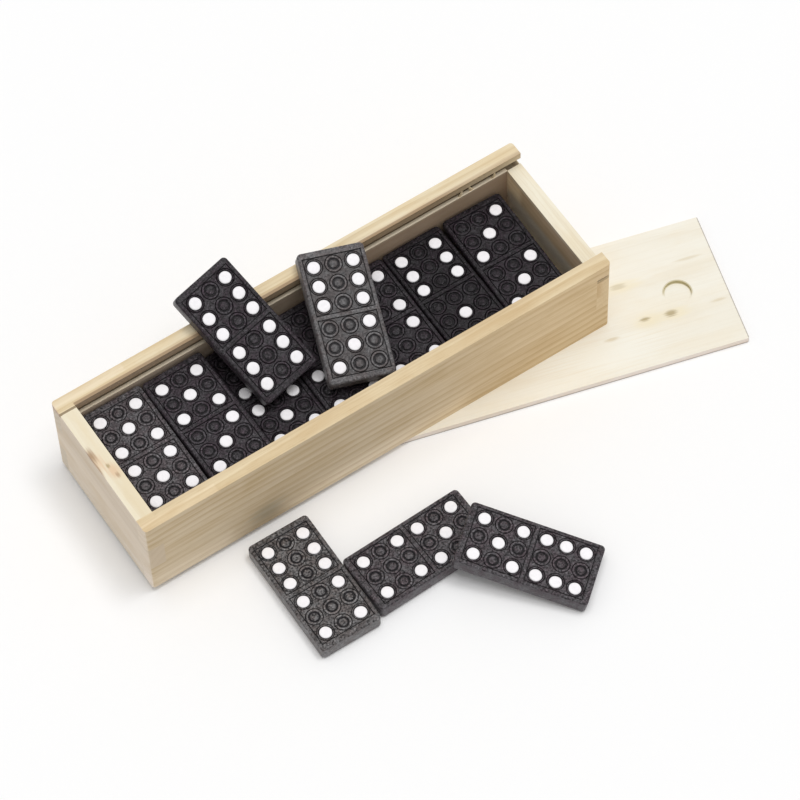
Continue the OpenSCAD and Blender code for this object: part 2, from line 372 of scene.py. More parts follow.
def cut_wall(place, size, tone):
    """The tone of the steep wall of a cut round a place, as cut end grain and painted shade."""
    def mark(s, colour, here, facing, fibre):
        near = s.fit(s.vector("LENGTH", s.vector("SUBTRACT", here, place)), size, 0.9 * size)
        steep = s.fit(facing[2], 0.9, 0.6)
        return s.mix(s.math("MULTIPLY", near, steep), colour, tone)
    return mark


def rim_shade(place, radius, width, away, tone, share):
    """A line of painted shade along a round cut's rim, on the side that a direction points to."""
    def mark(s, colour, here, facing, fibre):
        gap = s.vector("MULTIPLY", s.vector("SUBTRACT", here, place), (1, 1, 0))
        from_rim = s.math("ABSOLUTE", s.math("SUBTRACT", s.vector("LENGTH", gap), radius))
        line = s.fit(from_rim, 0.6 * width, 0.3 * width, 0.0, share)
        far = s.fit(s.vector("DOT_PRODUCT", gap, away), -0.35 * radius, 0.2 * radius)
        return s.mix(s.math("MULTIPLY", line, far), colour, tone)
    return mark


# ---- plastic and paint
PEBBLE_SCALE = 1700.0  # noises: scales per metre
BROAD_SCALE = 380.0
SPECK_SCALE = 1.2 * PEBBLE_SCALE
SPECK_SHIFT = (0.31, 0.17, 0.05)
# The grooves' near black is painted shade in the recesses.
GROOVE_SHADE_BLACK = (0.0075, 0.0062, 0.0078)
GROOVE_DUST_AND_SHEEN = 0.04
TINT_LOW = (1.0, 0.86, 1.02)  # the skin's two hues, and how they change with its tone
TINT_HIGH = (1.0, 0.66, 0.95)
TINT_FADE = (0.0, 1.0, -0.4)
TINT_HIGH_FADE = 2.1
# The sides' lighter tones are a painted reflection of the floor; the lighter pebbles are painted highlights.
SIDE_REFLECTION_SHARES = (1.0, 2.1)  # tones between the pebbles and on them, as shares of the skin's
TOP_SHARES = (0.05, 1.85)
BROAD_SHARES = (1.15, 0.85)
GROUND_SHARE = 0.95  # tone of the ground between the rings, and of the rings' tops
# The rings' lighter tops are a painted highlight.
RING_HIGHLIGHT_SHARE = 1.4
FRAME_SHARE = 0.68  # tone of the frame, as a share of the rings' tops
SMOOTH_GROUND_DROP = 0.55  # how much darker the ground is where the pebbles are gone
SPECK_TONE = 0.03
SPECK_DUST_AND_SHEEN = 1.4
PLASTIC_SHINE = 0.16
SKIN_USUAL = 0.022  # tone of a tile's skin, lighter where it is dusty and where it holds a painted sheen
SKIN_SPREAD = (0.7, 1.3)
SKIN_DUST_AND_SHEEN = {"6_4": 0.104, "6_3": 0.098, "5_4": 0.07, "6_5": 0.062, "5_5": 0.078, "5_3": 0.037,
        "6_6": 0.031, "3_3": 0.02, "6_1": 0.013}
SMOOTH = {"6_3": 0.6}  # strength of the pebbles where they are weaker than usual
PAINT_WHITE = (0.985, 0.965, 0.985)
PAINT_DULL = (0.92, 0.9, 0.92)
PAINT_SHINE = 0.3


def faded(tint, amount):
    """A hue of the skin, less purple where the skin is pale with dust and painted sheen."""
    return tuple(c + amount * fade for c, fade in zip(tint, TINT_FADE))


def skin_level(s, up, pebbles, broad, skin, grain):
    """Tone of the pebbled skin, with a painted reflection of the floor on the sides and painted highlights on
    the pebbles. On the faces that look up it is evened out as the grain weakens.
    """
    flat = sum(TOP_SHARES) / 2
    low_top, high_top = [flat + (share - flat) * grain for share in TOP_SHARES]
    low = s.fit(up, 0.0, 1.0, SIDE_REFLECTION_SHARES[0] * skin, low_top * skin)
    high = s.fit(up, 0.0, 1.0, SIDE_REFLECTION_SHARES[1] * skin, high_top * skin)
    return s.math("MULTIPLY", s.fit(pebbles, 0.32, 0.68, low, high, "LINEAR"),
                  s.fit(broad, 0.3, 0.7, *BROAD_SHARES))


def black_plastic(name, skin, grain):
    """Moulded black plastic: grooves with painted shade, ring tops with a painted highlight, painted glints,
    and a pebbled skin. skin is its tone, which holds dust and painted sheen, and grain the pebbles' strength.
    The mesh's rise is each place's height over the tile's frame."""
    s = Shader(name)
    coords = s.add("TexCoord").outputs
    where = coords["Object"]
    depth = s.add("Attribute", attribute_name="rise").outputs["Fac"]
    pebbles = s.noise(where, PEBBLE_SCALE, 2.0, 0.6)
    broad = s.noise(where, BROAD_SCALE, 3.0, 0.6)
    specks = s.noise(s.vector("ADD", where, SPECK_SHIFT), SPECK_SCALE, 2.0, 0.5)
    hue = s.mix(s.fit(broad, 0.4, 0.62), faded(TINT_LOW, skin), faded(TINT_HIGH, TINT_HIGH_FADE * skin))
    up = s.fit(s.split(coords["Normal"])[2], 0.2, 0.6)
    ground = s.fit(depth, -0.16, -0.07, GROUND_SHARE - SMOOTH_GROUND_DROP * (1 - grain), RING_HIGHLIGHT_SHARE)
    frame_tone = s.fit(depth, -0.06, 0.0, 1.0, 1 - (1 - FRAME_SHARE) * grain)
    level = s.math("MULTIPLY", skin_level(s, up, pebbles, broad, skin, grain),
                   s.math("MULTIPLY", ground, frame_tone))
    # Painted glints: light specks on the faces that look up, stronger on dustier, shinier tiles.
    glints = s.fit(specks, 0.58, 0.73, 0.0, (SPECK_TONE + SPECK_DUST_AND_SHEEN * skin) * grain)
    level = s.math("ADD", level, s.math("MULTIPLY", up, glints))
    pale = s.vector("MULTIPLY", hue, s.add("CombineXYZ", {"X": level, "Y": level, "Z": level}).outputs[0])
    # Painted shade in the grooves, a little lighter on dustier, shinier tiles.
    groove = tuple(c + GROOVE_DUST_AND_SHEEN * skin for c in GROOVE_SHADE_BLACK)
    colour = s.mix(s.fit(depth, -0.2, -0.4), pale, groove)
    normal = s.bump(broad, 0.25, 0.4 * MM)
    normal = s.bump(pebbles, s.fit(up, 0.0, 1.0, 0.35, 0.9 * grain), 0.28 * MM, normal)
    rough = s.fit(broad, 0.3, 0.7, 0.28, 0.42, "LINEAR")
    return s.finish(colour, rough, normal, PLASTIC_SHINE)


def white_paint():
    """Slightly uneven white paint."""
    s = Shader("white_paint")
    blots = s.noise(s.add("TexCoord").outputs["Object"], 900.0, 3.0, 0.6)
    colour = s.mix(s.fit(blots, 0.35, 0.75), PAINT_WHITE, PAINT_DULL)
    normal = s.bump(blots, 0.3, 0.1 * MM)
    return s.finish(colour, 0.55, normal, PAINT_SHINE)


# ---- the CAD tiles' places and sizes
EDGE_R = 0.55  # rounding of a tile's upper edge, in millimetres
ONE_DISC = 2.0  # middles closer together than this belong to one disc
DISC_REACH = 3.0  # no other disc comes as near as this to a disc's middle
SQUARE = 0.02  # slope up to which a face counts as square to a direction


def node_points(node):
    """A CAD node's corners in millimetres."""
    mesh = frame["nodes"][node].data
    places = np.zeros(len(mesh.vertices) * 3)
    mesh.vertices.foreach_get("co", places)
    return places.reshape(-1, 3) / MM


def broadest(node, against, least):
    """Direction in which a tile has most flat face: along a given one, or square to it where least is 0."""
    area = {}
    for face in frame["nodes"][node].data.polygons:
        lean = face.normal.dot(against)
        if (lean > least) if least else (abs(lean) < SQUARE):
            key = tuple(round(c, 2) for c in face.normal)
            total, normal = area.get(key, (0, Vector()))
            area[key] = (total + face.area, normal + face.normal * face.area)
    return max(area.values(), key=lambda pair: pair[0])[1].normalized()


def tile_pose(node):
    """Matrix of a tile's own axes, across, along and up, from the middle of its underside, and its size."""
    points = node_points(node)
    up = -broadest(node, Vector((0, 0, -1)), 0.5)
    side = broadest(node, up, 0.0)
    along = side.cross(up).normalized()
    if 2 * along.x + along.y < 0:
        along = -along
    across = along.cross(up)
    turn = np.array([across, along, up])
    local = points @ turn.T
    middle = (local.min(0) + local.max(0)) / 2
    middle[2] = local[:, 2].min()
    pose = Matrix((across, along, up)).transposed().to_4x4()
    pose.translation = Vector(middle @ turn)
    return pose, local.max(0) - local.min(0)


def field_sizes(node):
    """Width and length of a tile's sunken fields, and how far their middles are from the tile's."""
    pose, size = tile_pose(node)
    back = np.array(pose.inverted())
    local = node_points(node) @ back[:3, :3].T + back[:3, 3]
    sunk = (local[:, 2] > 0.9 * size[2]) & (local[:, 2] < size[2] - 0.1)
    inner = (np.abs(local[:, 0]) < size[0] / 2 - EDGE_R) & (np.abs(local[:, 1]) < size[1] / 2 - EDGE_R)
    floor = local[sunk & inner]
    low, high = np.abs(floor[:, 1]).min(), np.abs(floor[:, 1]).max()
    return 2 * float(np.abs(floor[:, 0]).max()), float(high - low), float(high + low) / 2


def disc_middles(node):
    """The middles of the separate discs of a pips node."""
    mesh = frame["nodes"][node].data
    points = node_points(node)
    group = list(range(len(points)))

    def root(k):
        while group[k] != k:
            group[k] = group[group[k]]
            k = group[k]
        return k

    for face in mesh.polygons:
        first = root(face.vertices[0])
        for k in face.vertices[1:]:
            group[root(k)] = first
    found = {}
    for k in range(len(points)):
        found.setdefault(root(k), []).append(points[k])
    return merged([np.mean(island, 0) for island in found.values()])


def merged(middles):
    """The middles, with those of one disc's separate faces taken as one."""
    kept = []
    for place in middles:
        near = [group for group in kept if np.linalg.norm(np.mean(group, 0) - place) < ONE_DISC]
        if near:
            near[0].append(place)
        else:
            kept.append([place])
    return [np.mean(group, 0) for group in kept]


def disc_radius(node):
    """Radius of a pip, from the flat size of one disc."""
    points = node_points(node)
    near = points[np.linalg.norm(points - disc_middles(node)[0], axis=1) < DISC_REACH]
    return float(np.ptp(near[:, 0])) / 2


TILE_W, TILE_L, TILE_T = (float(size) for size in tile_pose(TILE_NODES[0])[1])
FIELD_W, FIELD_L, FIELD_Y = field_sizes(TILE_NODES[0])
PIP_R = disc_radius(PIP_NODES[0])

# ---- tile meshes; lengths in millimetres
SEGMENTS = 32  # points round a ring, and round a cell
# Profiles go outwards from the middle, each point a radius and a height over the tile's frame. The paint's
# radii are shares of the pip's.
RING_PROFILE = [(0.65, -0.13), (0.98, -0.15), (1.13, -0.22), (1.23, -0.5), (1.45, -0.55), (1.6, -0.5),
                (1.74, -0.18), (1.86, -0.07), (2.2, -0.06), (2.32, -0.16), (2.44, -0.5)]
RING_MIDDLE = -0.12
RING_OUTSIDE = RING_PROFILE[-1][0]
PIP_PROFILE = [(1.0, -0.4), (1.8, -0.4), (1.9, -0.5), (2.0, -0.48), (2.1, -0.16), (2.2, -0.07),
               (2.32, -0.14), (2.44, -0.5)]
PIP_MIDDLE = -0.4
PAINT_PROFILE = [(0.5, -0.1), (0.78, -0.11), (0.9, -0.16), (0.97, -0.26), (1.0, -0.44)]
PAINT_MIDDLE = -0.095
GROUND = -0.14  # height of the ground between the rings, over the frame
GROUND_EASE = 0.16  # width of the slope from a ring's groove up to the ground
CHANNEL = -0.5  # the channel inside the frame: its height over the frame and its width
CHANNEL_W = 0.28
CHANNEL_LEAN = 0.02  # how far its outer wall and its inner slope lean
CHANNEL_SLOPE = 0.06
LIP_EASE = 0.07  # bevel of the frame's inner edge
FOOT_R = 0.95  # roundings of the lower edge and of the corners
CORNER_R = 1.2
LEAST_CORNER_R = 0.3
FOOT_STEPS = 4
EDGE_STEPS = 6
CORNER_STEPS = 7
SHARP = 42  # degrees from which an edge is shaded as sharp
PAINT_SHARP = 60
SLACK = 0.05  # how far past a field's opening its points still count as the field's
PAINT_SHIFT = 0.05
PAINT_GROWTH = (0.985, 1.01)
PAINT_WAVE = 0.014


class Build:
    """Collects vertices in millimetres, welded by place, and faces."""

    def __init__(self):
        self.points = []
        self.index = {}
        self.faces = []

    def point(self, x, y, z):
        key = (round(x, 4), round(y, 4), round(z, 4))
        if key not in self.index:
            self.index[key] = len(self.points)
            self.points.append((x, y, z))
        return self.index[key]

    def loop(self, ring):
        return [self.point(*p) for p in ring]

    def bridge(self, loops):
        """Quads between each closed loop and the next; they face up where the loops go outwards."""
        for inner, outer in zip(loops, loops[1:]):
            for k in range(len(inner)):
                j = (k + 1) % len(inner)
                self.faces.append((inner[k], outer[k], outer[j], inner[j]))

    def fan(self, middle, ring):
        for k in range(len(ring)):
            self.faces.append((middle, ring[k], ring[(k + 1) % len(ring)]))


def quarter_turn(steps):
    """The angles of a quarter turn, its ends included."""
    return [math.radians(90 * k / (steps - 1)) for k in range(steps)]


def side_places():
    """Places along a cell's side, from -1 towards 1, that lie at even angles round the cell's middle."""
    side = SEGMENTS // 4
    return [math.tan(math.radians(90 * k / side - 45)) for k in range(side)]


def side_point(t, minus, plus):
    """A place from -1 to 1, scaled by how far the side goes each way."""
    return t * (plus if t > 0 else minus)


def box_points(left, right, low, high):
    """Points round a rectangle about the origin, anticlockwise from its lower right corner."""
    places = side_places()
    points = [(right, side_point(t, low, high)) for t in places]
    points += [(-side_point(t, right, left), high) for t in places]
    points += [(-left, -side_point(t, high, low)) for t in places]
    points += [(side_point(t, left, right), -low) for t in places]
    return points


def circle_loop(x, y, r, z):
    """Points round a circle that match box_points."""
    turn = [math.radians(360 * k / SEGMENTS - 45) for k in range(SEGMENTS)]
    return [(x + r * math.cos(a), y + r * math.sin(a), z) for a in turn]


def rounded_loop(inset, z):
    """Rounded rectangle inside the tile's outline, anticlockwise."""
    wide, long = TILE_W / 2 - inset, TILE_L / 2 - inset
    r = max(CORNER_R - inset, LEAST_CORNER_R)
    ring = []
    for quarter, (sx, sy) in enumerate(((1, 1), (-1, 1), (-1, -1), (1, -1))):
        for turn in quarter_turn(CORNER_STEPS):
            a = math.radians(90 * quarter) + turn
            ring.append((sx * (wide - r) + r * math.cos(a), sy * (long - r) + r * math.sin(a), z))
    return ring


def slope_loop(x, y, outline):
    """The foot of the ground's slope: just outside a ring, or near the cell's outline where that is close."""
    ring = []
    for px, py in outline:
        away = math.hypot(px, py)
        room = away - RING_OUTSIDE
        step = min(GROUND_EASE, 0.5 * room)
        rise = min(1.0, room / GROUND_EASE)
        k = (RING_OUTSIDE + step) / away
        ring.append((x + px * k, y + py * k, TILE_T + CHANNEL + (GROUND - CHANNEL) * rise))
    return ring


def cell_reach(column, row):
    """How far a cell goes to the left, right, below and above of its middle."""
    half_w, half_l = FIELD_W / 6, FIELD_L / 6
    return (half_w - CHANNEL_W * (column == -1), half_w - CHANNEL_W * (column == 1),
            half_l - CHANNEL_W * (row == -1), half_l - CHANNEL_W * (row == 1))


def add_cell(build, x, y, reach, painted):
    """One cell of a field: a ring and a button, or a ring round a flat seat for a pip."""
    profile, middle = (PIP_PROFILE, PIP_MIDDLE) if painted else (RING_PROFILE, RING_MIDDLE)
    loops = [build.loop(circle_loop(x, y, r, TILE_T + z)) for r, z in profile]
    build.fan(build.point(x, y, TILE_T + middle), loops[0])
    outline = box_points(*reach)
    loops.append(build.loop(slope_loop(x, y, outline)))
    loops.append(build.loop([(x + px, y + py, TILE_T + GROUND) for px, py in outline]))
    build.bridge(loops)


def add_cells(build, pips):
    """The 3 by 3 cells of both fields."""
    for side in (1, -1):
        for row in (-1, 0, 1):
            for column in (-1, 0, 1):
                x, y = column * FIELD_W / 3, side * FIELD_Y + row * FIELD_L / 3
                painted = any(math.dist((x, y), pip) < FIELD_L / 6 for pip in pips)
                add_cell(build, x, y, cell_reach(column, row), painted)


def grid_lines(width):
    """Places of the cells' points along one side of a field."""
    pitch = width / 3
    lines = []
    for cell in (-1, 0, 1):
        low = pitch / 2 - (CHANNEL_W if cell == -1 else 0)
        high = pitch / 2 - (CHANNEL_W if cell == 1 else 0)
        lines += [cell * pitch + side_point(t, low, high) for t in side_places()]
    return lines + [width / 2 - CHANNEL_W]


def field_edge():
    """Points round the outline of a field's cells, which match the cells' own, anticlockwise."""
    xs, ys = grid_lines(FIELD_W), grid_lines(FIELD_L)
    ring = [(xs[-1], y) for y in ys] + [(x, ys[-1]) for x in reversed(xs)]
    ring += [(xs[0], y) for y in reversed(ys)] + [(x, ys[0]) for x in xs]
    return [p for p, q in zip(ring, ring[1:] + ring[:1]) if math.dist(p, q) > 1e-6]


def stretched(ring, middle_y, inset, z):
    """The cells' outline moved out to an inset from the field's opening, and to the field's middle."""
    kx = (FIELD_W / 2 - inset) / (FIELD_W / 2 - CHANNEL_W)
    ky = (FIELD_L / 2 - inset) / (FIELD_L / 2 - CHANNEL_W)
    return [(x * kx, middle_y + y * ky, z) for x, y in ring]


def add_channel(build, middle_y):
    """The frame's bevelled inner edge and the channel inside it; the upper loop is returned."""
    ring = field_edge()
    steps = ((-LIP_EASE, 0), (0, -LIP_EASE), (CHANNEL_LEAN, CHANNEL), (CHANNEL_W - CHANNEL_SLOPE, CHANNEL),
             (CHANNEL_W, GROUND))
    loops = [build.loop(stretched(ring, middle_y, inset, TILE_T + z)) for inset, z in steps]
    build.bridge(loops[::-1])
    return loops[0]


def add_sides(build):
    """The underside and the rounded sides; the loop round the frame is returned."""
    loops = [rounded_loop(FOOT_R * (1 - math.sin(a)), FOOT_R * (1 - math.cos(a)))
             for a in quarter_turn(FOOT_STEPS)]
    loops += [rounded_loop(EDGE_R * (1 - math.cos(a)), TILE_T - EDGE_R * (1 - math.sin(a)))
              for a in quarter_turn(EDGE_STEPS)]
    loops = [build.loop(ring) for ring in loops]
    build.faces.append(tuple(reversed(loops[0])))
    build.bridge(loops[::-1])
    return loops[-1]


def ring_edges(start, count):
    return [(start + k, start + (k + 1) % count) for k in range(count)]


def inside(corners, middle_y):
    """True where a triangle's middle is in a field's opening."""
    x = sum(c.x for c in corners) / len(corners)
    y = sum(c.y for c in corners) / len(corners) - middle_y
    return abs(x) < FIELD_W / 2 - LIP_EASE and abs(y) < FIELD_L / 2 - LIP_EASE


def add_plate(build, outer, openings):
    """Flat frame face between the outer loop and the openings' loops."""
    points = [build.points[i] for i in outer]
    edges = ring_edges(0, len(outer))
    for loop in openings:
        edges += ring_edges(len(points), len(loop))
        points += [build.points[i] for i in loop]
    flat = [Vector((p[0], p[1])) for p in points]
    made = delaunay_2d_cdt(flat, edges, [], 0, 1e-5)
    places, faces, sources = made[0], made[2], made[3]
    ids = outer + [i for loop in openings for i in loop]
    for face in faces:
        corners = [places[i] for i in face]
        if not any(inside(corners, middle_y) for middle_y in (FIELD_Y, -FIELD_Y)):
            build.faces.append(tuple(ids[sources[i][0]] for i in face))


def tile_mesh(name, pips):
    """A closed domino body: rounded sides, a raised frame and divider, and 18 moulded cells."""
    build = Build()
    outer = add_sides(build)
    rims = [add_channel(build, middle_y) for middle_y in (FIELD_Y, -FIELD_Y)]
    add_plate(build, outer, rims)
    add_cells(build, pips)
    return finish_mesh(name, build, SHARP)


def field_depth(x, y, z):
    """How far a point of a tile's fields is above its frame; 0 outside the fields."""
    within = abs(x) < FIELD_W / 2 + SLACK and abs(abs(y) - FIELD_Y) < FIELD_L / 2 + SLACK
    return z - TILE_T if within and z > 0.8 * TILE_T else 0.0


def finish_mesh(name, build, sharp):
    """Blender mesh in metres, smooth but for sharp edges; rise is a point's height over a tile's frame."""
    mesh = bpy.data.meshes.new(name)
    mesh.from_pydata([Vector(p) * MM for p in build.points], [], build.faces)
    mesh.validate()
    mesh.shade_smooth()
    mesh.set_sharp_from_angle(angle=math.radians(sharp))
    rise = mesh.attributes.new("rise", "FLOAT", "POINT")
    rise.data.foreach_set("value", [field_depth(*p) for p in build.points])
    return mesh


def wave(k, lean, r):
    """A small waviness of a paint edge, stronger towards the outside."""
    a = math.tau * k / SEGMENTS
    return 1 + PAINT_WAVE * r * r * (math.sin(2 * a + lean) + 0.6 * math.sin(5 * a - lean))


def paint_loop(x, y, r, z, grow, lean):
    """One loop of a cushion of paint, at a share of the pip's radius."""
    ring = circle_loop(0, 0, r * grow * PIP_R, TILE_T + z)
    return [(x + px * wave(k, lean, r), y + py * wave(k, lean, r), pz) for k, (px, py, pz) in enumerate(ring)]


def paint_mesh(name, pips, draw):
    """One low, slightly uneven cushion of paint for each pip."""
    build = Build()
    for x, y in pips:
        x, y = x + draw.uniform(-PAINT_SHIFT, PAINT_SHIFT), y + draw.uniform(-PAINT_SHIFT, PAINT_SHIFT)
        grow = draw.uniform(*PAINT_GROWTH)
        lean = draw.uniform(0, math.tau)
        loops = [build.loop(paint_loop(x, y, r, z, grow, lean)) for r, z in PAINT_PROFILE]
        build.fan(build.point(x, y, TILE_T + PAINT_MIDDLE), loops[0])
        build.bridge(loops)
        build.faces.append(tuple(reversed(loops[-1])))
    return finish_mesh(name, build, PAINT_SHARP)


# ---- tiles
def add_piece(name, mesh, material, place, body):
    """A piece whose place is in its mesh, riding on a body."""
    mesh.transform(place)
    mesh.materials.append(material)
    piece = bpy.data.objects.new(name, mesh)
    bpy.context.scene.collection.objects.link(piece)
    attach(piece, body)
    return piece


def pips_on(discs, back):
    """The pips of one tile, each as its CAD node and its place in the tile's own axes."""
    own = [(source, back @ place) for source, place in discs]
    return [(source, p) for source, p in own
            if abs(p.x) < TILE_W / 2 and abs(p.y) < TILE_L / 2 and abs(p.z - TILE_T) < 1]


def make_tiles():
    """A detailed tile and its paint for each tile of the frame."""
    paint = white_paint()
    discs = [(node, Vector(place)) for node in PIP_NODES for place in disc_middles(node)]
    for node in TILE_NODES:
        name = node.removeprefix("tile_")
        pose = tile_pose(node)[0]
        own = pips_on(discs, pose.inverted())
        pips = [(p.x, p.y) for source, p in own]
        place = Matrix.LocRotScale(pose.to_translation() * MM, pose.to_quaternion(), None)
        draw = random.Random(name)
        skin = SKIN_DUST_AND_SHEEN.get(name, SKIN_USUAL * draw.uniform(*SKIN_SPREAD))
        plastic = black_plastic("black_plastic_" + name, skin, SMOOTH.get(name, 1.0))
        body = add_piece("domino_" + name, tile_mesh("domino_" + name, pips), plastic, place, BODY_OF[node])
        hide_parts(node)
        if pips:
            cushions = paint_mesh("dots_" + name, pips, draw)
            dots = add_piece("dots_" + name, cushions, paint, place, BODY_OF[node])
            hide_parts(*sorted({source for source, p in own}))


# ---- wooden parts; lengths in millimetres
GRAIN_X = 0.0
GRAIN_Y = math.pi / 2
GRAIN_LID = math.atan2(LID_AXIS[1], LID_AXIS[0])
LIP_H = 2.4
LEDGE_W = 1.0
INNER_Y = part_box("rear_wall")[0].y / MM
BOX_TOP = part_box("rear_wall")[1].z / MM
GROOVE_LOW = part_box("open_end")[1].z / MM
GROOVE_HIGH = BOX_TOP - LIP_H
BOX_EDGE = 0.3  # eased edges
LID_EASE = 0.15
EASE_STEPS = 3
EASE_FROM = 40  # degrees
PEACH = (0.83, 0.69, 0.46)
ROSY = (0.76, 0.60, 0.375)
CREAM = (0.89, 0.81, 0.63)
YELLOW = (0.85, 0.74, 0.53)
GREIGE = (0.70, 0.575, 0.40)
TAN = (0.78, 0.60, 0.365)
PALE_PINK = (0.80, 0.69, 0.56)
END_PINK = (0.71, 0.62, 0.50)
END_GREIGE = (0.65, 0.53, 0.385)
CLEAN_WOOD = (1.0, 0.9, 0.74)
# Painted shade on the side walls' inner faces, inside the box.
WALL_SHADE = (0.47, 0.36, 0.275)
# Painted highlight on the lit front strip of the groove's ledge.
LEDGE = (1.0, 0.88, 0.68)
# Painted shade on the groove lip's inner face.
LIP_SHADE = (0.36, 0.25, 0.15)
# Painted shadow deep in the groove and in the corner under the rear lip.
SHADOW_BROWN = (0.10, 0.06, 0.03)
# Dark joints with painted shade in their gaps.
JOINT_SHADOW = (0.20, 0.125, 0.05)
EDGE_PINK = (0.58, 0.42, 0.33)
# Painted shadow that the loose tile casts on the front wall.
TILE_SHADOW_GREY = (0.25, 0.23, 0.16)
KNOT_BROWN = (0.36, 0.21, 0.11)
KNOT_OLIVE = (0.40, 0.31, 0.15)
KNOT_PEACH = (0.80, 0.57, 0.37)
KNOT_TAN = (0.62, 0.49, 0.27)
HALO = (0.90, 0.79, 0.52)
LID_CREAM = (0.925, 0.89, 0.785)
LID_YELLOW = (0.91, 0.855, 0.725)
# A pale patch of painted light on the lid near the box's front foot.
LID_LIGHT_PATCH = (0.95, 0.95, 0.88)
LID_EDGE = (0.97, 0.87, 0.79)
# Painted shade along the lid's lower edges and its end.
EDGE_SHADOW = (0.36, 0.32, 0.28)
# Painted shade at the far rim and steep wall of the lid's thumb notch; the wall is also cut end grain.
NOTCH_SHADE = (0.56, 0.49, 0.28)
# Each knot is its place, its size, its tone, its stretch and the share that its tone covers. The closed end's
# are placed inwards from its outer face and along y, the lid's back from its open end and aside.
END_KNOTS = (
    ((1.0, 1.0), 2.2, KNOT_PEACH, 0.5, 0.6),
    ((3.0, -3.3), 2.3, KNOT_PEACH, 0.55, 0.8),
    ((0.2, 3.8), 1.8, KNOT_BROWN, 0.45, 0.8),
    ((2.6, -1.25), 0.8, KNOT_OLIVE, 0.7, 0.7),
    ((3.4, -5.0), 0.9, KNOT_BROWN, 0.6, 0.55),
    ((-0.05, -0.5), 0.7, KNOT_BROWN, 0.14, 0.75))
LID_KNOTS = (
    # Not a knot: a pale patch of painted light near the box's front foot.
    ((40.0, -13.0), 9.0, LID_LIGHT_PATCH, 0.4, 0.6),
    ((24.6, -6.8), 3.4, HALO, 0.5, 0.45),
    ((16.9, -7.0), 3.4, HALO, 0.6, 0.45),
    ((28.5, 6.2), 3.0, HALO, 0.35, 0.4),
    ((25.6, -6.1), 1.0, KNOT_OLIVE, 0.45, 0.75),
    ((18.0, -6.6), 1.5, KNOT_OLIVE, 0.6, 0.75),
    ((29.1, 6.4), 1.2, KNOT_OLIVE, 0.4, 0.35),
    ((36.5, -9.4), 0.9, KNOT_TAN, 0.3, 0.5),
    ((7.2, 9.0), 0.7, KNOT_TAN, 0.14, 0.35),
    ((3.7, -6.7), 0.8, KNOT_TAN, 0.25, 0.4))
NOTCH_BACK = 13.9  # the thumb notch, from the middle of the lid's open end
NOTCH_ASIDE = -0.8
NOTCH_R = 4.0
NOTCH_LINE = 0.75
NOTCH_FAR_SIDE = (0.27, 0.96, 0.0)  # along, across and above the lid's grain
LIP_FADE = (32, 12)  # the stretch in which the lip's painted shade fades, back from the open end
PAST = 9.0  # how far a mark's box goes past a face, so that the face is well inside it
BELOW = -20.0  # under the box
ASIDE = 30.0  # beyond the box's sides
FACE_SPLIT_Y = 13.0  # the open end's inner face has painted light behind this and painted shade in front of it


def corner(node, which):
    """A CAD node's lowest (0) or highest (1) corner in millimetres."""
    return tuple(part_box(node)[which] / MM)


def groove_marks(side, onto_top):
    """Painted shade and light at a side wall's groove: painted shade on the inner wall, in the groove and on the
    lip's face, and a painted highlight on the ledge. side is 1 for the rear wall and -1 for the front one, and
    onto_top how far past the wall's inner face the lip's painted shade goes."""
    left, right = corner("closed_end", 1)[0], corner("rear_wall", 1)[0] + 1
    fade = [right - place for place in LIP_FADE]

    def band(y0, y1, z0, z1, tone, share, ease=0.12, left_over=1.0):
        near, far = sorted((side * (INNER_Y + y0), side * (INNER_Y + y1)))
        return stain((left, near, z0), (right, far, z1), tone, share, ease, fade, left_over)

    # Painted shade on the wall's inner face.
    shaded_wall = band(-1, 0.2, 0, GROOVE_LOW, WALL_SHADE, 0.75, 0.3)
    # Painted shadow deep in the groove, under the lip.
    groove_shadow = band(LEDGE_W, 3, GROOVE_LOW - 0.3, GROOVE_HIGH + 0.1, SHADOW_BROWN, 0.75)
    # Painted shade on the lip's inner face and a little past it, weaker towards the open end.
    shaded_lip = band(-1, onto_top, GROOVE_HIGH - 0.1, BOX_TOP + 1, LIP_SHADE, 0.8, 0.16, 0.35)
    # Painted highlight on the ledge's front strip.
    lit_ledge = band(-1, LEDGE_W, GROOVE_LOW - 0.3, GROOVE_LOW + 0.2, LEDGE, 0.95)
    return shaded_wall, groove_shadow, shaded_lip, lit_ledge


def front_marks():
    """Painted shadow of the loose tile low on the front wall, painted shade on the upper face and along the
    top's inner edge, painted light along the foot and the left foot, and a lighter left end of the top.
    """
    left, outer = corner("front_wall", 0)[:2]
    near, through = outer - PAST, outer + PAST
    # Painted shadow of the loose tile, low on the front wall.
    tile_shadow = knot((left + 37, outer, 8), 6.0, TILE_SHADOW_GREY, 0.75, 0.4)
    # Painted shade on the upper part of the outer face.
    upper = shade((left + 31, near, 25), (left + 95, through, BOX_TOP - 2), GRAIN_X, (0.94, 0.92, 0.87), 2)
    # Painted light along the foot of the outer face.
    foot = shade((left + 42, near, BELOW), (left + 102, through, 8), GRAIN_X, (1.24, 1.29, 1.4), 4)
    # Painted light along the foot at the left end.
    lit_left_foot = shade((left - PAST, near, BELOW), (left + 25, through, 8), GRAIN_X, (1.14, 1.17, 1.25), 3)
    top_left = shade((left - PAST, near, BOX_TOP - 0.4), (left + 23, outer + 2.6, BOX_TOP + 1), GRAIN_X,
                     (1.08, 1.1, 1.15), 0.4)
    # Painted shade along the top's inner edge.
    shaded_inner_edge = shade((left + 5, -INNER_Y - 1.3, BOX_TOP - 0.6), (left + 165, 1 - INNER_Y, BOX_TOP + 1),
                       GRAIN_X, (0.92, 0.9, 0.88), 0.5)
    return tile_shadow, upper, foot, lit_left_foot, top_left, shaded_inner_edge


